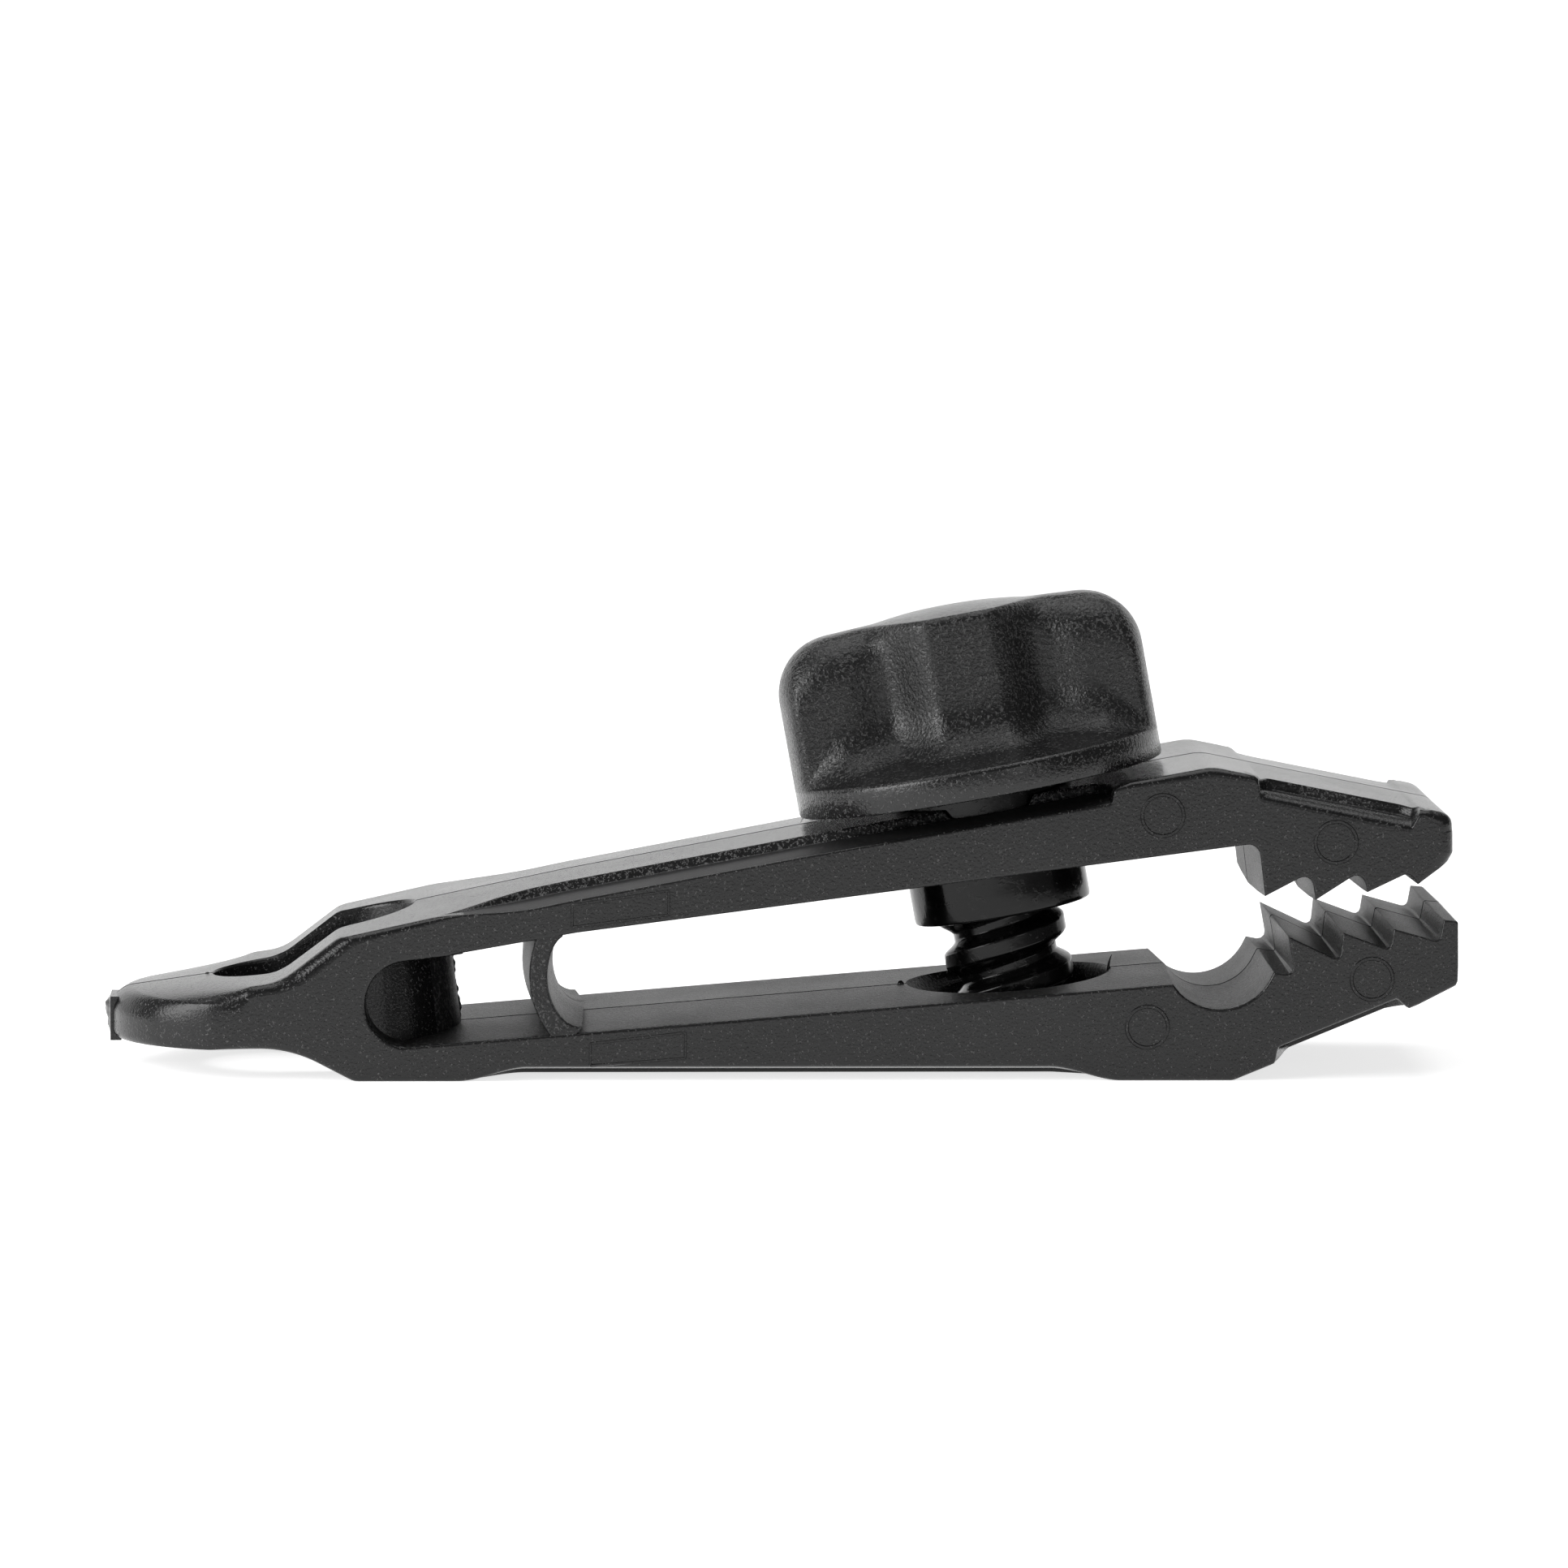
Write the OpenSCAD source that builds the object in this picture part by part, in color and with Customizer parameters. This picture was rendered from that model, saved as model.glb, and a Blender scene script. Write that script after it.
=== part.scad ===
// Tarp clip: two springy arms of one moulded body, drawn together by a wing screw
// until their toothed jaws hold a sheet. A rope goes through the eye at the other end.
// +X runs from the rope eye to the jaws, +Y across the clip, +Z up from the ground.
// Lengths are in millimetres and angles in degrees. The clip is drawn with its jaws open.

/* [Body] */
// Length from the tip of the rope eye to the ends of the jaws
body_l = 110; // [106:1:118]
// Width of the body over its two side faces
body_w = 24; // [21:0.5:28]

/* [Rope eye] */
// Thickness of the tongue round the rope hole
eye_t = 4.4; // [3.6:0.1:5]
// Height of the tongue's underside above the ground
eye_lift = 2.2; // [1:0.1:2.6]
// Chamfer round the tongue's end
eye_chamfer = 1.2; // [0.4:0.1:1.6]
// Length of the tongue, up to where it swells into the root
eye_l = 11.5; // [9:0.5:13]
// Length of the swelling between the tongue and the root
neck_l = 10.5; // [8:0.5:12]
// Bar of plastic between the tongue's tip and the rope hole
eye_bar = 8.9; // [7:0.1:10]
// Length of the rope hole
rope_l = 16.4; // [14:0.1:18]
// Width of the rope hole
rope_w = 10.5; // [8:0.1:12]
// Wall round the rope hole's inner end, which stands between the arms
boss_t = 3; // [2:0.1:4]

/* [Arms] */
// Distance from that wall to the line where the arms begin
root_land = 0.9; // [0.5:0.1:2]
// How far the slot beside that wall reaches back from where the arms begin
slot_back = 7.2; // [5:0.1:8]
// Thickness of the lower arm where it begins
low_root_t = 3.6; // [3:0.1:4.5]
// Thickness of the lower arm at the scoop
low_jaw_t = 8.1; // [7:0.1:9]
// Gap between the arms where they begin
gap_root = 6.4; // [5.5:0.1:7.5]
// Thickness of the upper arm where it begins
up_root_t = 4.4; // [3.5:0.1:5.5]
// Slope of the upper arm's underside
under_slope = 7.7; // [7:0.1:8.6]
// Slope of the upper arm's top face
top_slope = 10.4; // [9.5:0.1:11.5]

/* [Jaws] */
// Number of teeth in each jaw
tooth_n = 4; // [3:1:4]
// Distance from tooth to tooth
tooth_pitch = 4.2; // [3.9:0.05:4.4]
// Distance of the first lower tooth from the jaws' ends
low_first = 14.1; // [13.6:0.1:14.6]
// Height of the first lower tooth above the arm
low_tip = 4.05; // [3.4:0.05:4.4]
// Rise from each lower tooth to the next
low_tip_rise = 0.29; // [0:0.01:0.4]
// Height of the first lower tooth's foot above the arm
low_foot = 1; // [0.5:0.05:1.6]
// Rise from each lower tooth's foot to the next
low_foot_rise = 0.87; // [0.4:0.01:0.95]
// Distance of the first upper tooth from the jaws' ends
up_first = 16; // [15.6:0.1:16.4]
// Depth of the first upper tooth below the arm
up_tip = 4.4; // [3.4:0.05:4.7]
// Rise from each upper tooth to the next
up_tip_rise = 0.4; // [0.2:0.01:0.5]
// Depth of the upper teeth's feet below the arm
up_foot = 2.4; // [1.6:0.05:2.8]
// Lean of each tooth's steep side, from its foot to its tip
tooth_lean = 0.4; // [0:0.05:0.8]
// Radius of the scoop behind the lower teeth
scoop_r = 4.2; // [3.4:0.1:4.4]
// Distance of the scoop's axis from the jaws' ends
scoop_from_end = 19.4; // [19:0.1:20.4]
// Height of the scoop's axis above the arm's top face
scoop_up = 2.2; // [1.6:0.1:2.8]
// Distance of the upper jaw's highest line from the jaws' ends
peak_from_end = 20; // [18:0.5:22]
// Fall of the upper jaw's top face towards its end
nose_slope = 10.6; // [8:0.1:12]
// Height of the upper jaw's blunt end
nose_h = 4; // [3:0.1:4.6]
// Distance of the lower jaw's heel from the jaws' ends
heel_from_end = 18.2; // [17:0.1:20]
// Slope of the lower jaw's underside
chin_slope = 23.6; // [20:0.1:25]
// Length of the toe below the lower jaw's end
toe_l = 3.9; // [3:0.1:4.5]
// Rise of the toe's underside
toe_rise = 1.35; // [0.8:0.05:1.8]

/* [Side rebates] */
// How far the rebates are set in from the side faces
rebate_in = 2; // [1:0.1:3]
// Height of a rebate's upright wall
rebate_wall = 0.65; // [0.3:0.05:0.9]
// Further fall of a rebate's ledge towards the side face
rebate_fall = 0.6; // [0.2:0.05:0.9]
// Distance of the arms' rebates from where the arms begin
rebate_from_root = 1.5; // [1:0.1:4]
// Distance of the arms' rebates from the jaws' ends
rebate_from_end = 28; // [26:0.5:32]
// Length of the jaws' pockets
pocket_l = 11; // [8:0.5:12]
// Distance of the jaws' pockets from the jaws' ends
pocket_from_end = 4; // [3.5:0.1:5]

/* [Flex web] */
// Thickness of the curved leaf between the arms
web_t = 1.55; // [1:0.05:2]
// Radius of the leaf's middle line
web_r = 7; // [6:0.1:9]
// Distance of the leaf's middle line from where the arms begin
web_from_root = 6.7; // [6:0.1:9]

/* [Wing screw] */
// Distance of the screw from the jaws' ends, on the upper arm's top face
screw_from_end = 38; // [36.5:0.5:40]
// Gap under the knob's skirt, with the jaws open
seat_gap = 0.45; // [0.2:0.05:0.8]
// Diameter of the knob's skirt
skirt_d = 30.3; // [28:0.1:32]
// Height of the knob's skirt
skirt_h = 2.3; // [1.5:0.1:3]
// Height of the knob with its skirt
knob_h = 14.6; // [12:0.1:17]
// Length of the wings from end to end
wing_l = 29.6; // [26:0.1:30]
// Radius of the wings' upper corners
wing_r = 4.4; // [3:0.1:6]
// Thickness of the hub between the wings
hub_t = 13; // [11:0.1:14]
// Thickness of the wings
wing_t = 9.2; // [8:0.1:10]
// Thickness of the finger valleys
valley_t = 7.4; // [6:0.1:7.8]
// Distance of the finger valleys from the screw's axis
valley_u = 6.8; // [6:0.1:7.5]
// Diameter of the shoulder
shank_d = 14.4; // [12.5:0.1:15.5]
// Length of the shoulder below the skirt
shank_l = 10.3; // [9.5:0.1:11]
// Gap round the shoulder in the upper arm
shank_gap = 0.3; // [0.2:0.05:0.5]
// Outer diameter of the thread
thread_d = 10; // [9:0.1:11]
// Depth of the thread
thread_depth = 0.85; // [0.7:0.05:1]
// Pitch of the thread
thread_pitch = 3.65; // [3.2:0.05:3.8]
// Gap round the thread in the lower arm
thread_gap = 0.45; // [0.4:0.05:0.6]
// Height of the screw's end above the ground, with the jaws open
tip_lift = 2.9; // [2.7:0.1:3.4]
// Gap round the shoulder in the lower arm's counterbore
sink_gap = 0.6; // [0.3:0.1:1]
// Depth of the counterbore
sink_depth = 2.4; // [1.5:0.1:3]
// Chamfer on the counterbore's lip
sink_lip = 0.65; // [0.3:0.05:1]
// Turn of the screw that closes the jaws
clamp_turn = 165; // [120:5:170]

/* [Hidden] */
$fn = 64;

body_colour = [0.16, 0.16, 0.17];
screw_colour = [0.1, 0.1, 0.11];

// How far a cutter stands past the face that it cuts
over = 2;
// Steps along the swelling of the neck, and along half of the knob's plan
neck_steps = 8;
wing_steps = 24;
// Sides of the thread's cross-section, and its slices in one turn
thread_sides = 24;
thread_slices = 14;
// Shares of the pitch taken by the thread's crest and by each flank
crest_share = 0.3;
flank_share = 0.2;
// Share of the wings' length where each wing starts to round off
wing_end_share = 0.8;

// Stations along the clip
x_tip = -body_l / 2;
x_end = body_l / 2;
x_hole = x_tip + eye_bar;
x_hole_end = x_hole + rope_l;
x_root = x_hole_end + boss_t + root_land;
x_slot = x_root - slot_back;
x_neck = x_tip + eye_l;
x_scoop = x_end - scoop_from_end;
x_peak = x_end - peak_from_end;
x_heel = x_end - heel_from_end;
x_screw = x_end - screw_from_end;
x_web = x_root + web_from_root + web_r;
x_rebate = x_root + rebate_from_root;
x_pocket = x_end - pocket_from_end - pocket_l;

// Faces of the two arms, as heights over a station
low_rise = (low_jaw_t - low_root_t) / (x_scoop - scoop_r - x_root);
function low_top(x) = low_root_t + (x - x_root) * low_rise;
function up_under(x) = low_root_t + gap_root + (x - x_root) * tan(under_slope);
function up_top(x) = low_root_t + gap_root + up_root_t + (x - x_root) * tan(top_slope);
function nose_top(x) = up_top(x_peak) - (x - x_peak) * tan(nose_slope);
function chin(x) = (x - x_heel) * tan(chin_slope);
function ease(t) = (1 - cos(180 * t)) / 2;

// The upper arm bends about this line, half way up the gap where the arms begin
z_pivot = low_root_t + gap_root / 2;

// The screw's seat, measured from the bending line, and the screw's lever about that line
seat = [x_screw - x_root, up_top(x_screw) - z_pivot];
lever = seat[0] * cos(top_slope) + seat[1] * sin(top_slope);
close_angle = clamp_turn * thread_pitch / (2 * PI * lever);

// The screw half way through its travel, which is where the lower arm's thread is cut
mid_angle = close_angle / 2;
mid_tilt = top_slope - mid_angle;
mid_x = x_root + seat[0] * cos(mid_angle) + seat[1] * sin(mid_angle);
mid_z = z_pivot - seat[0] * sin(mid_angle) + seat[1] * cos(mid_angle);
mid_drop = (mid_z - low_top(mid_x)) / (cos(mid_tilt) + low_rise * sin(mid_tilt));

// Heights on the screw's own axis, from the upper arm's top face
z_skirt = seat_gap;
z_shank = z_skirt - shank_l;
z_tip = (tip_lift - up_top(x_screw)) / cos(top_slope);

// Carries an outline in X and Z across the clip
module across(w) {
    rotate([90, 0, 0])
        linear_extrude(w, center = true)
            children();
}

// Stands its children on the upper arm's top face, along the screw
module on_screw() {
    translate([x_screw, 0, up_top(x_screw)])
        rotate([0, -top_slope, 0])
            children();
}

// Cuts a rebate along both top edges of a bar that runs along +X from the origin
module side_rebates(l) {
    y_wall = body_w / 2 - rebate_in;
    y_out = body_w / 2 + over;
    fall = rebate_fall * (rebate_in + over) / rebate_in;
    for (side = [0, 1])
        mirror([0, side, 0])
            rotate([90, 0, 90])
                linear_extrude(l)
                    polygon([
                        [y_wall, over],
                        [y_wall, -rebate_wall],
                        [y_out, -rebate_wall - fall],
                        [y_out, over]
                    ]);
}

// Radius of the thread at an angle round it, with its flanks widened by a share of the pitch
function thread_r(a, root_r, widen) =
    let (share = abs(((a / 360 + 0.5) % 1) - 0.5))
    let (up = (crest_share / 2 + flank_share + widen - share) / flank_share)
    root_r + thread_depth * min(1, max(0, up));

// A single start right-hand thread between two heights on the screw's axis
module thread_form(low, high, gap) {
    l = high - low;
    root_r = thread_d / 2 - thread_depth + gap;
    translate([0, 0, low])
        rotate([0, 0, 360 * low / thread_pitch])
            linear_extrude(l, twist = -360 * l / thread_pitch, slices = ceil(l / thread_pitch * thread_slices))
                polygon([
                    for (i = [0:thread_sides - 1])
                        let (a = 360 * i / thread_sides)
                        thread_r(a, root_r, gap / thread_pitch) * [cos(a), sin(a)]
                ]);
}

// The rope hole, from below the ground to above the arms
module rope_hole() {
    h = up_top(x_root) + 2 * over;
    translate([0, 0, -over]) {
        for (x = [x_hole + rope_w / 2, x_hole_end - rope_w / 2])
            translate([x, 0, 0])
                cylinder(h, d = rope_w);
        translate([x_hole + rope_w / 2, -rope_w / 2, 0])
            cube([rope_l - rope_w, rope_w, h]);
    }
}

// The tongue with its rope hole, the swelling neck and the block that both arms grow from
module rope_eye() {
    eye_top = eye_lift + eye_t;
    x_swell = x_neck + neck_l;
    outline = concat(
        [[x_tip, eye_lift + eye_chamfer], [x_tip + eye_chamfer, eye_lift]],
        [for (i = [0:neck_steps]) [x_neck + neck_l * i / neck_steps, eye_lift * (1 - ease(i / neck_steps))]],
        [[x_root, 0], [x_root, up_top(x_root)]],
        [
            for (i = [neck_steps:-1:0])
                let (x = x_neck + neck_l * i / neck_steps)
                [x, eye_top + (up_top(x_swell) - eye_top) * ease(i / neck_steps)]
        ],
        [[x_tip + eye_chamfer, eye_top], [x_tip, eye_top - eye_chamfer]]
    );
    slot_end_r = (up_under(x_slot) - low_top(x_slot)) / 2;
    x_slot_axis = x_slot + slot_end_r;
    z_slot = (up_under(x_slot_axis) + low_top(x_slot_axis)) / 2;
    color(body_colour)
        difference() {
            intersection() {
                across(body_w) polygon(outline);
                plan_outline(up_top(x_root) + over);
            }
            difference() {
                across(body_w + over)
                    union() {
                        translate([x_slot_axis, z_slot]) circle(slot_end_r);
                        polygon([
                            [x_slot_axis, z_slot - slot_end_r],
                            [x_root + over, low_top(x_root + over)],
                            [x_root + over, up_under(x_root + over)],
                            [x_slot_axis, z_slot + slot_end_r]
                        ]);
                    }
                translate([x_hole_end - rope_w / 2, 0, 0])
                    cylinder(up_top(x_root), r = rope_w / 2 + boss_t);
            }
            rope_hole();
        }
}

// The rope eye's round end, seen from above
module plan_outline(h) {
    end_r = body_w / 2;
    union() {
        translate([x_tip + end_r, 0, 0])
            cylinder(h, r = end_r);
        translate([x_tip + end_r, -end_r, 0])
            cube([x_root - x_tip - end_r, body_w, h]);
    }
}

// The arm that lies on the ground, with the scoop, the lower teeth and the female thread
module lower_arm() {
    x_toe = x_end - toe_l;
    z_toe = chin(x_toe);
    x_first = x_end - low_first;
    teeth = [
        for (i = [tooth_n - 1:-1:0])
            let (x = x_first + i * tooth_pitch)
            each [
                [x, low_jaw_t + low_tip + i * low_tip_rise],
                [x - tooth_lean / 2, low_jaw_t + low_foot + i * low_foot_rise]
            ]
    ];
    outline = concat(
        [[x_root, 0], [x_heel, 0], [x_toe, z_toe], [x_toe + toe_rise / 2, z_toe]],
        [[x_end - toe_rise / 2, z_toe + toe_rise], [x_end, z_toe + 2 * toe_rise]],
        [[x_end, teeth[0][1]]],
        teeth,
        [[x_first - tooth_lean - low_foot, low_jaw_t + low_foot]],
        [[x_scoop - scoop_r, low_jaw_t], [x_root, low_root_t]]
    );
    color(body_colour)
        difference() {
            across(body_w) polygon(outline);
            translate([x_scoop, 0, low_jaw_t + scoop_up])
                rotate([90, 0, 0])
                    cylinder(body_w + over, r = scoop_r, center = true);
            translate([x_rebate, 0, 0])
                mirror([0, 0, 1])
                    side_rebates(x_end - rebate_from_end - x_rebate);
            translate([x_pocket, 0, chin(x_pocket)])
                rotate([0, -chin_slope, 0])
                    mirror([0, 0, 1])
                        side_rebates(pocket_l / cos(chin_slope));
            translate([mid_x, 0, mid_z])
                rotate([0, -mid_tilt, 0])
                    female_thread();
        }
}

// The lower arm's thread, with the counterbore that takes the shoulder
module female_thread() {
    sink_d = shank_d + 2 * sink_gap;
    z_floor = -mid_drop - sink_depth;
    rotate([0, 0, -clamp_turn / 2])
        thread_form(-(mid_z + over) / cos(mid_tilt), z_floor + over / 2, thread_gap);
    translate([0, 0, z_floor])
        cylinder(sink_depth + over, d = sink_d);
    translate([0, 0, -mid_drop - sink_lip])
        cylinder(sink_lip + over, d1 = sink_d, d2 = sink_d + 2 * (sink_lip + over));
}

// The arm above, with the screw's hole and the upper teeth
module upper_arm() {
    x_first = x_end - up_first;
    z_under = up_under(x_first);
    teeth = [
        for (i = [0:tooth_n - 1])
            let (x = x_first + i * tooth_pitch)
            each [
                [x - tooth_lean, i == 0 ? z_under : z_under - up_foot],
                [x, z_under - up_tip + i * up_tip_rise]
            ]
    ];
    outline = concat(
        [[x_root, up_under(x_root)]],
        teeth,
        [[x_end - tooth_lean, nose_top(x_end) - nose_h], [x_end, nose_top(x_end) - nose_h + tooth_lean]],
        [[x_end, nose_top(x_end) - tooth_lean], [x_end - tooth_lean, nose_top(x_end - tooth_lean)]],
        [[x_peak, up_top(x_peak)], [x_root, up_top(x_root)]]
    );
    color(body_colour)
        difference() {
            across(body_w) polygon(outline);
            translate([x_rebate, 0, up_top(x_rebate)])
                rotate([0, -top_slope, 0])
                    side_rebates((x_end - rebate_from_end - x_rebate) / cos(top_slope));
            translate([x_pocket, 0, nose_top(x_pocket)])
                rotate([0, nose_slope, 0])
                    side_rebates(pocket_l / cos(nose_slope));
            on_screw()
                translate([0, 0, z_shank])
                    cylinder(shank_l + over, d = shank_d + 2 * shank_gap);
        }
}

// The thin curved leaf that joins the arms and springs them apart
module flex_web() {
    z_axis = (low_top(x_web - web_r) + up_under(x_web - web_r)) / 2;
    color(body_colour)
        intersection() {
            translate([x_web, 0, z_axis])
                rotate([90, 0, 0])
                    difference() {
                        cylinder(body_w, r = web_r + web_t / 2, center = true);
                        cylinder(body_w + over, r = web_r - web_t / 2, center = true);
                    }
            across(body_w)
                polygon([
                    [x_root, low_top(x_root)],
                    [x_web, low_top(x_web)],
                    [x_web, up_under(x_web)],
                    [x_root, up_under(x_root)]
                ]);
        }
}

// Half of the knob's thickness at a distance from the screw's axis
function wing_half(u) =
    let (s = abs(u))
    let (end = wing_l / 2 * wing_end_share)
    s < valley_u ? (hub_t + (valley_t - hub_t) * ease(s / valley_u)) / 2
    : s < end ? (valley_t + (wing_t - valley_t) * ease((s - valley_u) / (end - valley_u))) / 2
    : wing_t / 2 * sqrt(max(0, 1 - pow((s - end) / (wing_l / 2 - end), 2)));

// The wing grip, waved for the fingers, on its round skirt
module wing_knob() {
    half = wing_l / 2;
    stations = [for (i = [-wing_steps:wing_steps]) half * sin(90 * i / wing_steps)];
    plan = concat(
        [for (u = stations) [u, -wing_half(u)]],
        [for (i = [2 * wing_steps - 1:-1:1]) [stations[i], wing_half(stations[i])]]
    );
    color(screw_colour)
        on_screw()
            translate([0, 0, z_skirt]) {
                cylinder(skirt_h, d = skirt_d);
                intersection() {
                    linear_extrude(knob_h)
                        polygon(plan);
                    across(hub_t + over)
                        union() {
                            translate([-half, 0]) square([wing_l, knob_h - wing_r]);
                            translate([wing_r - half, 0]) square([wing_l - 2 * wing_r, knob_h]);
                            for (side = [-1, 1])
                                translate([side * (half - wing_r), knob_h - wing_r]) circle(wing_r);
                        }
                }
            }
}

// The smooth shoulder that turns in the upper arm
module screw_shank() {
    color(screw_colour)
        on_screw()
            translate([0, 0, z_shank])
                cylinder(shank_l, d = shank_d);
}

// The coarse thread that draws the lower arm up
module screw_thread() {
    color(screw_colour)
        on_screw()
            thread_form(z_tip, z_shank, 0);
}

rope_eye();
lower_arm();
upper_arm();
flex_web();
wing_knob();
screw_shank();
screw_thread();
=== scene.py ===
"""Looks of the tarp clip: a black moulded nylon body with two toothed arms, and the wing screw that closes them.

The body's mouldings are outlines in X and Z carried across Y. Sizes are in millimetres until a mesh is made.
"""

import math
from collections import namedtuple

import bmesh
import bpy
import numpy as np
from mathutils import Matrix, Vector


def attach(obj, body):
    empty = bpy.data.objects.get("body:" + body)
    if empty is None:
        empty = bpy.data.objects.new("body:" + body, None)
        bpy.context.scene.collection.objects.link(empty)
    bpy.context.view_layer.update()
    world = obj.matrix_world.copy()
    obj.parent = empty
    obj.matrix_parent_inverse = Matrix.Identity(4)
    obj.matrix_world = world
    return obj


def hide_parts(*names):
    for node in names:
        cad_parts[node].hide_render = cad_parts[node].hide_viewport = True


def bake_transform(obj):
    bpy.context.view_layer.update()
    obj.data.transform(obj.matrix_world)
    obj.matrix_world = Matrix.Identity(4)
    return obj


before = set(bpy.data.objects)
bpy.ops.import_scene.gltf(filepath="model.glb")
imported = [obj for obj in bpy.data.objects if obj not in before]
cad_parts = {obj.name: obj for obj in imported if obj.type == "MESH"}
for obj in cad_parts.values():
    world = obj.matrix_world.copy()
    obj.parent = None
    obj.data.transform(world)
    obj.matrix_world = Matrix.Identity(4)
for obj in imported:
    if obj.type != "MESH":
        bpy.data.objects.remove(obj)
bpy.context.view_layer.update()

MM = 0.001

# Edges of a mesh that turn by more than this stay sharp
SHARP_ANGLE = math.radians(32)

# The body: half of its width, the line where its upper arm starts to bend, and the groove of its parting line
HALF_W = 12.0
SEAM_X = -25.8
SEAM_TOP = 14.19
SEAM_LOW = 10.05
PIVOT = np.array([SEAM_X, 6.8])
GROOVE_HALF = 0.19
GROOVE_DEPTH = 0.2

# The screw: its seat on the upper arm, the tilt of its axis, and half of the turn that the arm makes
SEAT = np.array([16.95, 22.255])
TILT = math.radians(10.4)
HALF_TRAVEL = math.radians(1.068)

# The loose screw leans back in its hole, about a line along the wings at this height above the seat
LEAN = math.radians(2.35)
LEAN_H = 2.0

# The knob: heights above the seat, then its skirt and its wings, hub and finger valleys
SKIRT_LIFT = 0.62
SKIRT_R = 15.1
SKIRT_H = 2.45
SKIRT_SLOPE = 0.16
RIM_ROUND = 0.45
KNOB_H = 14.4
WING_R = 4.9
WING_HALF = 4.8
WING_RUN = 3.6
HUB_HALF = 7.2
HUB_FLAT = 2.2
HUB_CROWN = 0.52
HUB_SWELL = 0.18
VALLEY_HALF = 3.9
VALLEY_U = 6.6
HOLLOW_R = 4.0
WALL_DRAFT = 0.012

# The shoulder and the thread below it, with the thread's play off the axis
SHANK_R = 7.3
SHANK_LOW = -9.85
THREAD_R = 5.15
THREAD_DEPTH = 1.05
THREAD_PHASE = 0.45
THREAD_PITCH = 3.65
THREAD_LOW = -19.6
THREAD_OFF = -0.28


def smooth(t):
    """Eases from 0 to 1 with level ends: 3t^2 - 2t^3, held outside 0..1."""
    t = np.clip(t, 0, 1)
    return t * t * (3 - 2 * t)


# Meshes


def new_piece(name, verts, faces, material):
    """A mesh object at the origin from points in millimetres, its faces turned outwards."""
    mesh = bpy.data.meshes.new(name)
    mesh.from_pydata((np.asarray(verts, float) * MM).tolist(), [], faces)
    shell = bmesh.new()
    shell.from_mesh(mesh)
    bmesh.ops.recalc_face_normals(shell, faces=shell.faces)
    shell.to_mesh(mesh)
    shell.free()
    mesh.update()
    return finish_mesh(name, mesh, material)


def finish_mesh(name, mesh, material):
    """Links a mesh as an object of one material, smooth but for its sharp edges."""
    mesh.polygons.foreach_set("use_smooth", np.ones(len(mesh.polygons), bool))
    mesh.set_sharp_from_angle(angle=SHARP_ANGLE)
    piece = bpy.data.objects.new(name, mesh)
    bpy.context.scene.collection.objects.link(piece)
    mesh.materials.clear()
    mesh.materials.append(material)
    return piece


def grid_faces(rows, columns, wrap_columns=True, wrap_rows=False):
    """Quads between the neighbours of a grid whose point (row, column) is number row * columns + column."""
    r = np.arange(rows if wrap_rows else rows - 1)[:, None]
    c = np.arange(columns if wrap_columns else columns - 1)[None, :]
    r1, c1 = (r + 1) % rows, (c + 1) % columns
    quads = np.stack([r * columns + c, r1 * columns + c, r1 * columns + c1, r * columns + c1], -1)
    return quads.reshape(-1, 4).tolist()


def tube(name, rows, material):
    """A closed solid from an array (rows, columns, 3): quads between the rows and a flat face at each end."""
    n_rows, n_columns = rows.shape[:2]
    faces = grid_faces(n_rows, n_columns)
    faces.append(list(range(n_columns)))
    faces.append([(n_rows - 1) * n_columns + k for k in reversed(range(n_columns))])
    return new_piece(name, rows.reshape(-1, 3), faces, material)


def mirrored(half):
    """Rows from the middle plane to one side face, with their mirror images before them."""
    return np.concatenate([half[:0:-1] * np.array([1, -1, 1]), half])


def combine(piece, other, operation):
    """Leaves piece joined with other, or cut by it, and removes other."""
    change = piece.modifiers.new("shape", "BOOLEAN")
    change.operation = operation
    change.object = other
    change.solver = "EXACT"
    bpy.context.view_layer.update()
    seen = piece.evaluated_get(bpy.context.evaluated_depsgraph_get())
    made = bpy.data.meshes.new_from_object(seen)
    piece.modifiers.remove(change)
    old, material, name = piece.data, piece.data.materials[0], piece.name
    bpy.data.objects.remove(piece)
    bpy.data.objects.remove(other)
    bpy.data.meshes.remove(old)
    return finish_mesh(name, made, material)


def on_screw(points, turn=0.0):
    """Puts points (along the wings, across, up the axis) on the screw's seat, carried round the pivot by turn."""
    points = np.asarray(points, float)
    tilt = TILT - turn
    arm = SEAT - PIVOT
    x0 = PIVOT[0] + arm[0] * math.cos(turn) + arm[1] * math.sin(turn)
    z0 = PIVOT[1] - arm[0] * math.sin(turn) + arm[1] * math.cos(turn)
    u, w, h = points[..., 0], points[..., 1], points[..., 2]
    x = x0 + u * math.cos(tilt) - h * math.sin(tilt)
    z = z0 + u * math.sin(tilt) + h * math.cos(tilt)
    return np.stack([x, w, z], -1)


def leaned(points):
    """Points (along the wings, across, up the axis) of the screw, leaned back by its play and put on the seat."""
    points = np.asarray(points, float)
    w, h = points[..., 1], points[..., 2] - LEAN_H
    back = w * math.cos(LEAN) + h * math.sin(LEAN)
    up = h * math.cos(LEAN) - w * math.sin(LEAN)
    return on_screw(np.stack([points[..., 0], back, LEAN_H + up], -1))


def revolved(profile, columns=96):
    """Carries a profile of (radius, height) once round the upright axis."""
    a = np.linspace(0, 2 * math.pi, columns, endpoint=False)
    r, h = np.asarray(profile, float).T[..., None]
    return np.stack([r * np.cos(a), r * np.sin(a), np.repeat(h, columns, 1)], -1)


# Materials


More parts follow.
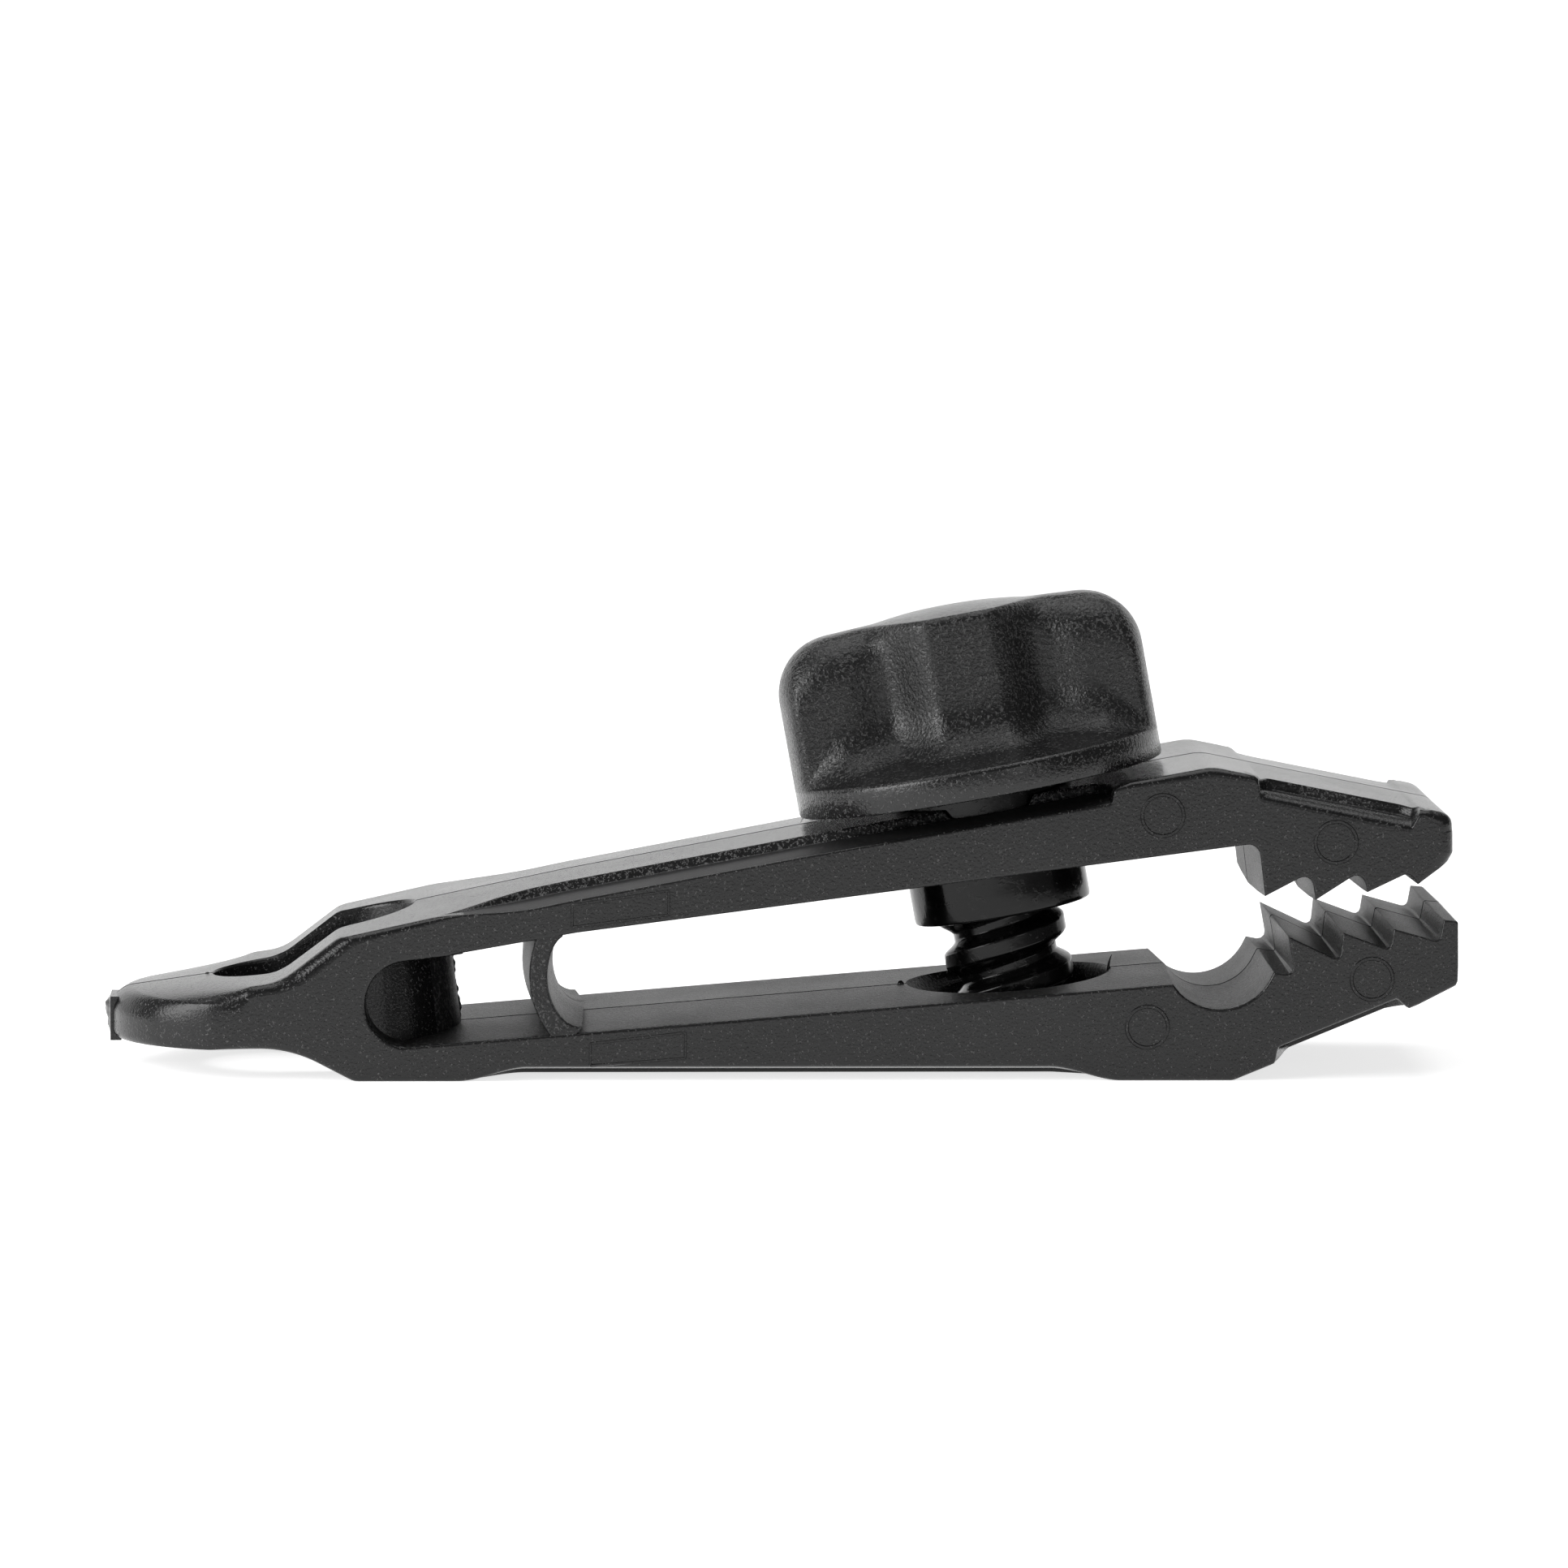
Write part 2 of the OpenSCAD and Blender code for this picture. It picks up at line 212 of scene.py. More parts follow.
def add_node(tree, kind, place=(0, 0), **settings):
    """A node with its settings: those that start with in_ are values of the input so named."""
    node = tree.nodes.new(kind)
    node.location = place
    for key, value in settings.items():
        if key.startswith("in_"):
            node.inputs[key[3:].replace("_", " ")].default_value = value
        else:
            setattr(node, key, value)
    return node


def add_math(tree, operation, place, first, second=None):
    """A math node on a socket, and on a second socket or value."""
    node = add_node(tree, "ShaderNodeMath", place, operation=operation)
    tree.links.new(first, node.inputs[0])
    if isinstance(second, float):
        node.inputs[1].default_value = second
    elif second is not None:
        tree.links.new(second, node.inputs[1])
    return node.outputs[0]


def make_grain_group():
    """Moulded grain from Object coordinates in metres.

    Glint is a fine line wherever a noise passes its middle value, kept only where a second noise is above a limit,
    so it breaks into short curls. The curls are real grain in the height, and their glint is a painted highlight
    in the colour. Height is a pebbled noise with the curls standing on it by half. Tone is a slow noise.
    """
    middle, curl_edge, curl_core, patch_ease, curl_height = 0.5, 0.09, 0.015, 0.08, 0.5
    scuff_scale = 90.0
    tree = bpy.data.node_groups.new("moulded_grain", "ShaderNodeTree")
    for name in ("Grain Scale", "Bare Share"):
        tree.interface.new_socket(name, in_out="INPUT", socket_type="NodeSocketFloat")
    for name in ("Height", "Glint", "Tone"):
        tree.interface.new_socket(name, in_out="OUTPUT", socket_type="NodeSocketFloat")
    link = tree.links.new
    given = add_node(tree, "NodeGroupInput", (-900, 0))
    out = add_node(tree, "NodeGroupOutput", (900, 0))
    coords = add_node(tree, "ShaderNodeTexCoord", (-900, -300))
    shifted = add_node(tree, "ShaderNodeMapping", (-750, -100), in_Location=(0.37, 0.19, 0.53))
    pebble = add_node(tree, "ShaderNodeTexNoise", (-600, 200), in_Detail=2.0, in_Roughness=0.55)
    patch = add_node(tree, "ShaderNodeTexNoise", (-600, -100), in_Detail=1.0)
    scuff = add_node(
        tree, "ShaderNodeTexNoise", (-600, -400), in_Scale=scuff_scale, in_Detail=4.0, in_Roughness=0.55
    )
    link(coords.outputs["Object"], shifted.inputs["Vector"])
    link(coords.outputs["Object"], pebble.inputs["Vector"])
    link(shifted.outputs["Vector"], patch.inputs["Vector"])
    link(coords.outputs["Object"], scuff.inputs["Vector"])
    link(given.outputs["Grain Scale"], pebble.inputs["Scale"])
    link(given.outputs["Grain Scale"], patch.inputs["Scale"])
    off_middle = add_math(tree, "SUBTRACT", (-350, 250), pebble.outputs["Fac"], middle)
    distance = add_math(tree, "ABSOLUTE", (-200, 250), off_middle)
    curl = add_node(
        tree, "ShaderNodeMapRange", (-50, 250), interpolation_type="SMOOTHSTEP",
        in_From_Min=curl_edge, in_From_Max=curl_core,
    )
    link(distance, curl.inputs["Value"])
    over = add_math(tree, "SUBTRACT", (-350, -50), patch.outputs["Fac"], given.outputs["Bare Share"])
    kept = add_node(
        tree, "ShaderNodeMapRange", (-200, -50), interpolation_type="SMOOTHSTEP",
        in_From_Min=0.0, in_From_Max=patch_ease,
    )
    link(over, kept.inputs["Value"])
    glint = add_math(tree, "MULTIPLY", (150, 100), curl.outputs["Result"], kept.outputs["Result"])
    raised = add_math(tree, "MULTIPLY", (250, 50), glint, curl_height)
    height = add_math(tree, "ADD", (350, 200), pebble.outputs["Fac"], raised)
    link(height, out.inputs["Height"])
    link(glint, out.inputs["Glint"])
    link(scuff.outputs["Fac"], out.inputs["Tone"])
    return tree


GRAIN = make_grain_group()
TONE_RANGE = (0.35, 0.7)
GLOSS_RANGE = (0.3, 0.75)
BLUE_TINT = 1.03


def nylon(name, dark, light, glint, rough, grain_scale, depth, bare, ior=1.44):
    """Black nylon: dark to light by a slow tone, then towards a painted glint, a highlight, on the grain's curls.

    Its roughness lies between two values by the tone, and its grain has a depth in millimetres.
    """
    material = bpy.data.materials.new(name)
    material.use_nodes = True
    tree = material.node_tree
    link = tree.links.new
    shader = tree.nodes["Principled BSDF"]
    shader.inputs["IOR"].default_value = ior
    grain = add_node(
        tree, "ShaderNodeGroup", (-900, 0), node_tree=GRAIN, in_Grain_Scale=grain_scale, in_Bare_Share=bare
    )
    tone = add_node(
        tree, "ShaderNodeMapRange", (-700, 200), in_From_Min=TONE_RANGE[0], in_From_Max=TONE_RANGE[1]
    )
    link(grain.outputs["Tone"], tone.inputs["Value"])
    ground = add_node(tree, "ShaderNodeMix", (-500, 250), data_type="RGBA")
    ground.inputs["A"].default_value = (dark, dark, dark * BLUE_TINT, 1)
    ground.inputs["B"].default_value = (light, light, light * BLUE_TINT, 1)
    link(tone.outputs["Result"], ground.inputs["Factor"])
    # Painted highlight: the glint colour on the grain's curls stands in for small glints of light
    colour = add_node(tree, "ShaderNodeMix", (-300, 250), data_type="RGBA")
    colour.inputs["B"].default_value = (glint, glint, glint, 1)
    link(ground.outputs["Result"], colour.inputs["A"])
    link(grain.outputs["Glint"], colour.inputs["Factor"])
    link(colour.outputs["Result"], shader.inputs["Base Color"])
    gloss = add_node(
        tree, "ShaderNodeMapRange", (-500, -50), in_From_Min=GLOSS_RANGE[0], in_From_Max=GLOSS_RANGE[1],
        in_To_Min=rough[0], in_To_Max=rough[1],
    )
    link(grain.outputs["Tone"], gloss.inputs["Value"])
    link(gloss.outputs["Result"], shader.inputs["Roughness"])
    bump = add_node(tree, "ShaderNodeBump", (-300, -350), in_Strength=1.0, in_Distance=depth * MM)
    link(grain.outputs["Height"], bump.inputs["Height"])
    link(bump.outputs["Normal"], shader.inputs["Normal"])
    return material


# Each finish: dark and light ground, painted glint, least and most rough, grains in a metre, grain depth, share of
# the curls left out, and refractive index where it is set
BODY = nylon("body_nylon", 0.006, 0.011, 0.09, (0.16, 0.24), 4400, 0.03, 0.6)
INNER = nylon("body_nylon_inner", 0.008, 0.015, 0.1, (0.38, 0.48), 3600, 0.09, 0.5)
WALL = nylon("body_nylon_grained", 0.009, 0.014, 0.12, (0.2, 0.28), 3800, 0.05, 0.48)
LEDGE = nylon("body_nylon_ledge", 0.008, 0.014, 0.05, (0.45, 0.55), 4400, 0.02, 0.6)
# Painted shade: the parting line's groove gets a darker, duller copy of the nylon with a low index, for the shade in
# it
SEAM_SHADE = nylon("body_nylon_seam_shade", 0.001, 0.002, 0.003, (0.5, 0.6), 4400, 0.01, 0.6, 1.2)
KNOB = nylon("knob_nylon", 0.005, 0.010, 0.07, (0.22, 0.3), 3300, 0.11, 0.5, 1.5)
SKIRT = nylon("knob_nylon_skirt", 0.006, 0.010, 0.08, (0.16, 0.24), 3600, 0.05, 0.56, 1.5)
SCREW = nylon("screw_nylon", 0.002, 0.004, 0.012, (0.12, 0.22), 1500, 0.01, 0.55, 1.36)


# The body's mouldings

# Each row of an outline is a corner in the middle plane, and then the edge that follows it:
# x, z, fillet radius, draft at the side face, and rounding at the side face


def arc_corners(cx, cz, r, start, end, count, draft, rounding):
    """Corners along an arc from one angle to another, in degrees."""
    a = np.radians(np.linspace(start, end, count))
    blank = np.zeros(count)
    return np.stack([cx + r * np.cos(a), cz + r * np.sin(a), blank, blank + draft, blank + rounding], 1)


BASE_OUTLINE = np.vstack([
    [(SEAM_X, SEAM_TOP, 0, 0.4, 0.15), (-28.4, 13.63, 20, 0.3, 0.7), (-35.9, 11.9, 2.2, 0.25, 1.2)],
    [(-40.75, 8.2, 5, 0.2, 0.8), (-54.55, 6.2, 2.2, 0.3, 0.5), (-54.55, 2.25, 0.8, 0.3, 0.6)],
    [(-39.5, 2.36, 10, 0.15, 0.5), (-35.0, 0, 1.5, 0, 0.35), (37.9, 0, 1.5, 0.45, 0.35)],
    [(51.97, 5.78, 2, 0.45, 0.45), (54.95, 7.3, 0.7, 0, 0.12), (54.99, 9.4, 1.5, 0, 0.12)],
    [(54.93, 13.2, 0.3, 0.14, 0.16), (53.5, 13.32, 0.2, 0.3, 0.15), (53.22, 11.75, 0.14, 0.3, 0.15)],
    [(49.48, 12.78, 0.2, 0.3, 0.15), (49.22, 11.1, 0.14, 0.3, 0.15)],
    [(45.34, 12.52, 0.2, 0.3, 0.15), (45.12, 10.25, 0.14, 0.3, 0.15)],
    [(40.72, 12.32, 0.22, 0.3, 0.15), (41.3, 9.1, 0.2, 0.45, 0.15), (39.75, 9.38, 0.25, 0.42, 0.2)],
    arc_corners(35.6, 10.45, 4.2, -24, -134, 20, 0.42, 0.2),
    [(32.05, 8.2, 0.4, 0.3, 0.18)],
    arc_corners(-30.2, 6.3, 3.2, -93, -263, 26, 0.3, 0.3),
    [(SEAM_X, SEAM_LOW, 0, 0, 0.001)],
])

JAW_OUTLINE = np.array([
    (SEAM_X, SEAM_LOW, 0, 0.45, 0.2), (-16.6, 11.68, 14, 0.45, 0.2), (38.4, 18.93, 0.6, 0.3, 0.2),
    (38.95, 14.62, 0.2, 0.3, 0.18), (42.7, 16.6, 0.45, 0.3, 0.18), (43.08, 14.27, 0.2, 0.3, 0.18),
    (46.92, 16.75, 0.45, 0.3, 0.18), (47.3, 14.97, 0.22, 0.3, 0.18), (50.9, 16.7, 0.45, 0.3, 0.18),
    (51.55, 15.6, 0.35, 0.3, 0.3), (54.2, 17.6, 0.6, 0.2, 1.1), (54.68, 18.5, 0.6, 0.15, 1.2),
    (54.62, 21.75, 1.8, 0.4, 1.0), (52.2, 22.226, 0, 0.4, 0.3), (38.3, 24.96, 0, 0.4, 0.7),
    (34.85, 25.64, 4.5, 0.4, 0.7), (27.1, 24.23, 0, 0.4, 0.15), (1.44, 19.56, 0, 0.4, 0.15),
    (-17, 16.05, 0, 0.4, 0.15), (SEAM_X, SEAM_TOP, 0, 0, 0.001),
])

# Rebates and pockets along the side edges: from, to, setback, drop of the wall, fall of the ledge past its bend,
# and run-out at the left and right ends
Rebate = namedtuple("Rebate", "start end back wall fall run_in run_out")
UPPER_REBATE = Rebate(-28.3, 26.85, 5.3, 0.76, 0.12, 8.5, 0.5)
LOWER_REBATE = Rebate(-26.6, 28.6, 5.6, 0.7, 0.5, 6.0, 6.0)
UPPER_POCKET = Rebate(38.45, 51.9, 3.0, 0.8, 0.3, 0.8, 0.6)
LOWER_POCKET = Rebate(41.0, 51.3, 6.5, 0.9, 0.25, 0.9, 0.6)

# A rebate's setback where it runs out, the least length of a run-out in plan, and how far its end rounds over
LEAST_BACK = 1
LEAST_RUN_IN = 1.4
LEAST_RUN_OUT = 1.6
END_OVER = 0.2

# Stations along a long edge: even ones, and close ones from before a run-out to after it
EVEN_STEP = 1.0
CLOSE_STEP = 0.15
CLOSE_LAP = 0.6
CLOSE_PAST = 0.4
CORNER_ROOM = 0.3

# Rows across: the setback where there is no rebate, the wall's width, the bend's place on the ledge, the lap past
# the side face, and the shares of each zone, or degrees of its rounding, where a row lies
PLAIN_BACK = 3.4
WALL_RUN = 0.4
BEND_SHARE = 0.45
FACE_LAP = 0.05
TOP_ROWS = (0.1, 0.3, 0.5, 0.7, 0.88, 0.97, 1)
WALL_ROWS = (0.15, 0.32, 0.5, 0.68, 0.85, 1)
LEDGE_ROWS = (0.3, 0.7, 1)
FALL_ROWS = (0.1, 0.5, 1)
ROUND_ROWS = (15, 30, 45, 60, 75, 90)

# Spacing of points on a plain edge, and the least share of a fillet that draft leaves
PLAIN_STEP = 1.5
LEAST_FILLET = 0.1


def sunk_edge(x, rebate):
    """How far a rebate is set back at x, and how deep its wall and ledge are.

    All are eased in along the run-outs, and the setback is rounded off at the right end.
    """
    rise = smooth((x - rebate.start) / rebate.run_in) * smooth((rebate.end - x) / rebate.run_out)
    end = np.sqrt(np.clip((rebate.end + END_OVER - x) / max(rebate.run_out, LEAST_RUN_OUT), 0, 1))
    reach = smooth((x - rebate.start) / max(rebate.run_in, LEAST_RUN_IN)) * end
    return LEAST_BACK + (rebate.back - LEAST_BACK) * reach, rebate.wall * rise, rebate.fall * rise


def edge_marks(outline, edge, rebate):
    """Stations along an edge of an outline, as shares of it: even ones, and close ones where a rebate runs out."""
    x_from, x_to = outline[edge, 0], outline[edge + 1, 0]
    low, high = min(x_from, x_to), max(x_from, x_to)
    even = np.arange(low + EVEN_STEP, high - EVEN_STEP / 2, EVEN_STEP)
    run_out = max(rebate.run_out, LEAST_RUN_OUT)
    ends = ((rebate.start, rebate.run_in + CLOSE_LAP), (rebate.end - run_out, run_out + CLOSE_PAST))
    close = [np.arange(x - CLOSE_LAP, x + length, CLOSE_STEP) for x, length in ends]
    x = np.unique(np.round(np.concatenate([even, *close]), 3))
    x = x[(x > low + CORNER_ROOM) & (x < high - CORNER_ROOM)]
    return np.sort((x - x_from) / (x_to - x_from))


def moulding(outline, marks, sunk, relief=None):
    """An outline carried from side face to side face, as points (rows, columns, 3).

    A point of the outline moves inwards as it nears a side face: by the edge's draft in proportion to |y|, and then
    by a quarter circle of the edge's rounding. Corners keep to both of their edges' insets. Rebates sink the points
    past their setback, the rows are spaced so that each wall has its own, and relief takes draft back.
    """
    xz, fillet, draft, rounding = outline[:, :2], outline[:, 2], outline[:, 3], outline[:, 4]
    count = len(outline)
    along = np.roll(xz, -1, 0) - xz
    length = np.linalg.norm(along, axis=1)
    after = np.stack([along[:, 1], -along[:, 0]], 1) / length[:, None]
    before = np.roll(after, 1, 0)
    cosine = np.sum(before * after, 1)
    turn = np.arctan2(before[:, 0] * after[:, 1] - before[:, 1] * after[:, 0], cosine)
    heading = np.arctan2(before[:, 1], before[:, 0])
    mitre = (before + after) / (1 + cosine)[:, None]
    skew = (before - after) / np.maximum(1 - cosine, 0.05)[:, None]
    radius = fillet * np.sign(turn)

    def rounded(r, y):
        t = np.clip((y - (HALF_W - r)) / r, 0, 1)
        return r * (1 - np.sqrt(1 - t * t))

    def inset(edge, y):
        drafted = draft[edge] * np.minimum(y, HALF_W) / HALF_W
        return drafted + rounded(rounding[edge], y) + np.maximum(y - HALF_W, 0)

    def arc_at(i, y, t):
        d1, d2 = inset(i - 1, y), inset(i, y)
        mean = (d1 + d2) / 2
        if radius[i] > 0:
            r = np.maximum(radius[i] - mean, LEAST_FILLET * radius[i])
        else:
            r = radius[i] - mean if radius[i] else 0 * mean
        centre = xz[i] - (mean + r)[..., None] * mitre[i] - ((d1 - d2) / 2)[..., None] * skew[i]
        angle = heading[i] + t * turn[i] + 0 * r
        return centre + r[..., None] * np.stack([np.cos(angle), np.sin(angle)], -1)

    # Columns: each corner's arc, then the points of the edge after it. A sharp corner between a sunk edge and a
    # plain one goes with the sunk edge.
    blocks, normals, edge_of = [], [], []
    for i in range(count):
        steps = 1 if fillet[i] == 0 else 3 + int(min(14, 5 * fillet[i] * abs(turn[i])))
        t = np.full(1, 0.5) if steps == 1 else np.linspace(0, 1, steps)
        angle = heading[i] + t * turn[i]
        last = (i - 1) % count
        owner, facing = np.where(t < 0.5, last, i), np.stack([np.cos(angle), np.sin(angle)], -1)
        if steps == 1 and (last in sunk) != (i in sunk):
            owner = np.array([last if last in sunk else i])
            facing = after[owner]
        blocks.append(("arc", i, t))
        normals.append(facing)
        edge_of.append(owner)
        share = marks.get(i)
        if share is None:
            share = np.linspace(0, 1, int(length[i] / PLAIN_STEP) + 2)[1:-1]
        if len(share):
            blocks.append(("edge", i, share))
            normals.append(np.repeat(after[i][None], len(share), 0))
            edge_of.append(np.full(len(share), i))
    normals, edge_of = np.concatenate(normals), np.concatenate(edge_of)

    def outline_at(y):
        parts, first = [], 0
        for kind, i, t in blocks:
            here = y[:, first:first + len(t)]
            first += len(t)
            if kind == "arc":
                parts.append(arc_at(i, here, t[None, :]))
            else:
                one = arc_at(i, here, np.ones((1, 1)))
                two = arc_at((i + 1) % count, here, np.zeros((1, 1)))
                parts.append(one + (two - one) * t[None, :, None])
        return np.concatenate(parts, 1)

    total = len(edge_of)
    middle_x = outline_at(np.zeros((1, total)))[0, :, 0]
    back = np.full(total, PLAIN_BACK)
    wall, fall = np.zeros(total), np.zeros(total)
    for edge, rebate in sunk.items():
        here = edge_of == edge
        back[here], wall[here], fall[here] = sunk_edge(middle_x[here], rebate)
    r_edge = rounding[edge_of]
    back = np.maximum(back, WALL_RUN + r_edge + 0.1)

    # Rows: y, the share of the wall's drop, and a drop of the row's own
    top = HALF_W - back
    ledge = top + WALL_RUN
    bend = ledge + BEND_SHARE * (HALF_W - ledge)
    rows = [(0 * top, 0, GROOVE_DEPTH), (0 * top + GROOVE_HALF, 0, 0)]
    rows += [(GROOVE_HALF + f * (top - GROOVE_HALF), 0, 0) for f in TOP_ROWS]
    rows += [(top + f * WALL_RUN, smooth(f), 0) for f in WALL_ROWS]
    rows += [(ledge + f * (bend - ledge), 1, 0) for f in LEDGE_ROWS]
    rows += [(bend + f * (HALF_W - r_edge - bend), 1, 0) for f in FALL_ROWS]
    rows += [(HALF_W - r_edge * (1 - math.sin(math.radians(a))), 1, 0) for a in ROUND_ROWS]
    rows += [(0 * top + HALF_W + FACE_LAP, 1, 0)]
    y = np.array([row[0] for row in rows])
    past_bend = np.clip((y - bend) / (HALF_W - bend), 0, 1)
    drop = np.array([row[1] * wall + row[2] for row in rows]) + fall * past_bend
    if relief is not None:
        drop -= relief(middle_x, normals) * np.minimum(y, HALF_W) / HALF_W
    placed = outline_at(y) - normals[None] * drop[..., None]
    return mirrored(np.stack([placed[..., 0], np.minimum(y, HALF_W), placed[..., 1]], -1))


def peak_relief(x, normals):
    """Draft taken back on the upper jaw's top: all on the peak and nose, none in the rebate and in the pocket."""
    most, ease = 0.34, 0.5
    pocket = smooth((x - UPPER_POCKET.start) / ease) * smooth((UPPER_POCKET.end - x) / ease)
    past_rebate = smooth((x - UPPER_REBATE.end + 0.6) / 1.2)
    upward = smooth((normals[:, 1] - 0.2) / 0.6)
    return most * past_rebate * (1 - pocket) * upward


base_sunk = {0: UPPER_REBATE, 1: UPPER_REBATE, 7: LOWER_REBATE, 8: LOWER_POCKET}
base_marks = {edge: edge_marks(BASE_OUTLINE, edge, base_sunk[edge]) for edge in (0, 7, 8)}
base_points = moulding(BASE_OUTLINE, base_marks, base_sunk)

# The eye's round end in plan: points beyond its centre draw in as a half circle does
EYE_X = -43.0
EYE_R = HALF_W + 0.02
past_eye = np.minimum(base_points[..., 0] - EYE_X, 0)
base_points[..., 0] += past_eye * (np.sqrt(1 - (base_points[..., 1] / EYE_R) ** 2) - 1)

# The upper arm's underside, edge 1, has close points because it bends
jaw_sunk = {13: UPPER_POCKET, 16: UPPER_REBATE, 17: UPPER_REBATE, 18: UPPER_REBATE}
jaw_marks = {edge: edge_marks(JAW_OUTLINE, edge, rebate) for edge, rebate in jaw_sunk.items()}
jaw_marks[1] = np.linspace(0, 1, 60)[1:-1]
jaw_points = moulding(JAW_OUTLINE, jaw_marks, jaw_sunk, peak_relief)

# The rope hole in plan, its lip, how it flares at its foot (outwards, upwards), and the eye's underside there
HOLE_X = -37.9
HOLE_HALF = 2.95
HOLE_R = 5.25
HOLE_LIP = 0.3
HOLE_LIP_RISE = 1.18
HOLE_FOOT = ((1.6, -2.6), (0.75, -0.6), (0.5, -0.05), (0.2, 0.3), (0.05, 0.6), (0, 0.9))
HOLE_ABOVE = 2.2
EYE_TOP_DRAFT = 0.4
EYE_UNDER_X = (-41.2, -38, -35, -34.5)
EYE_UNDER_Z = (2.0, 1.65, 0.3, 0.0)

# The round wall that closes the rope hole's inner end: its centre, and its radius and height at foot and head
BOSS_X = -34.9
BOSS_ENDS = ((9.25, 2.3), (8.2, 10.3))

# The lower arm's counterbore, from the arm's face down, and the holes for the thread and the shoulder
WELL_DROP = 14.69
WELL_LIP = ((8.9, 2.5), (8.75, 0.5), (8.5, 0.0), (8.2, -0.35), (7.9, -0.6), (7.8, -0.9))
WELL_R = 7.8
WELL_DEPTH = 2.4
BORE_R = 6.1
BORE_LOW = -26
SHANK_HOLE = ((7.75, 3), (7.75, -8), (7.85, -8.6), (8.2, -14))


def hole_plan(grow, count=24):
    """The rope hole's outline in plan, grown outwards: two half circles joined by straight sides."""
    a = np.linspace(-math.pi / 2, math.pi / 2, count)
    r = HOLE_R + grow
    right = np.stack([HOLE_X + HOLE_HALF + r * np.cos(a), r * np.sin(a)], 1)
    left = np.stack([HOLE_X - HOLE_HALF - r * np.cos(a), -r * np.sin(a)], 1)
    return np.concatenate([right, left])


def rope_hole_cutter():
    """The rope hole carried up: it flares by a part of a circle where it meets the eye's top, and at its foot."""
    plan = hole_plan(0)
    neck = BASE_OUTLINE[4::-1]
    top = np.interp(plan[:, 0], neck[:, 0], neck[:, 1]) - EYE_TOP_DRAFT * np.abs(plan[:, 1]) / HALF_W
    bottom = np.interp(plan[:, 0], EYE_UNDER_X, EYE_UNDER_Z)
    rows = [np.column_stack([hole_plan(grow), bottom + height]) for grow, height in HOLE_FOOT]
    for a in np.radians([0, 15, 30, 45, 58]):
        rise = HOLE_LIP * math.sin(a) * HOLE_LIP_RISE
        rows.append(np.column_stack([hole_plan(HOLE_LIP * (1 - math.cos(a))), top - HOLE_LIP + rise]))
    rows.append(np.column_stack([hole_plan(HOLE_ABOVE), top + HOLE_ABOVE]))
    return tube("hole_cutter", np.array(rows)[:, ::-1], BODY)


def boss_solid():
    """The round wall behind the rope hole: a half disc carried up, wider at its foot."""
    count = 40
    a = np.linspace(-math.pi / 2, math.pi / 2, count)
    rows = [np.stack([BOSS_X + r * np.cos(a), r * np.sin(a), np.full(count, h)], 1) for r, h in BOSS_ENDS]
    return tube("boss", np.array(rows)[:, ::-1], BODY)


def screw_well_cutter():
    """The counterbore with its rounded lip, and the thread's bore below it, on the screw's axis at mid travel."""
    profile = [(r, h - WELL_DROP) for r, h in WELL_LIP]
    profile += [(WELL_R, -WELL_DEPTH - WELL_DROP), (BORE_R, -WELL_DEPTH - WELL_DROP), (BORE_R, BORE_LOW)]
    return tube("well_cutter", on_screw(revolved(profile), HALF_TRAVEL), BODY)


def shank_hole_cutter():
    """The hole for the shoulder, wider below."""
    return tube("shank_cutter", on_screw(revolved(SHANK_HOLE)), BODY)


clip_body = tube("clip_body", base_points, BODY)
clip_body = combine(clip_body, boss_solid(), "UNION")
clip_body = combine(clip_body, rope_hole_cutter(), "DIFFERENCE")
clip_body = combine(clip_body, screw_well_cutter(), "DIFFERENCE")

jaw_arm = tube("jaw_arm", jaw_points, BODY)
jaw_arm = combine(jaw_arm, shank_hole_cutter(), "DIFFERENCE")


def refinish(piece, choose, *finishes):
    """Gives faces other finishes: choose numbers them from their centres in mm and normals, 0 for the first one."""
    faces = piece.data.polygons
    centre, normal = np.empty(len(faces) * 3), np.empty(len(faces) * 3)
    faces.foreach_get("center", centre)
    faces.foreach_get("normal", normal)
    chosen = choose(centre.reshape(-1, 3) / MM, normal.reshape(-1, 3))
    for finish in finishes:
        piece.data.materials.append(finish)
    faces.foreach_set("material_index", chosen.astype(np.int32))


def in_seam(c, n):
    """The groove of the parting line, by its steep sides: the faces that get the painted shade."""
    return (np.abs(c[:, 1]) < GROOVE_HALF) & (np.abs(n[:, 1]) > 0.5)


def lower_inside(c, n):
    """1 for the lower arm's top, its scoop and teeth, and the slot's end, and 2 for the parting line's painted
    shade.
    """
    left, right, lowest = -33.5, 54.3, 2.6
    x, z = c[:, 0], c[:, 2]
    highest = np.where(x < SEAM_X, 9.6, 13.4)
    placed = (x > left) & (x < right) & (z > lowest) & (z < highest)
    inside = placed & (np.abs(n[:, 1]) < 0.6) & (n[:, 2] > -0.75)
    return np.where(in_seam(c, n), 2, inside)


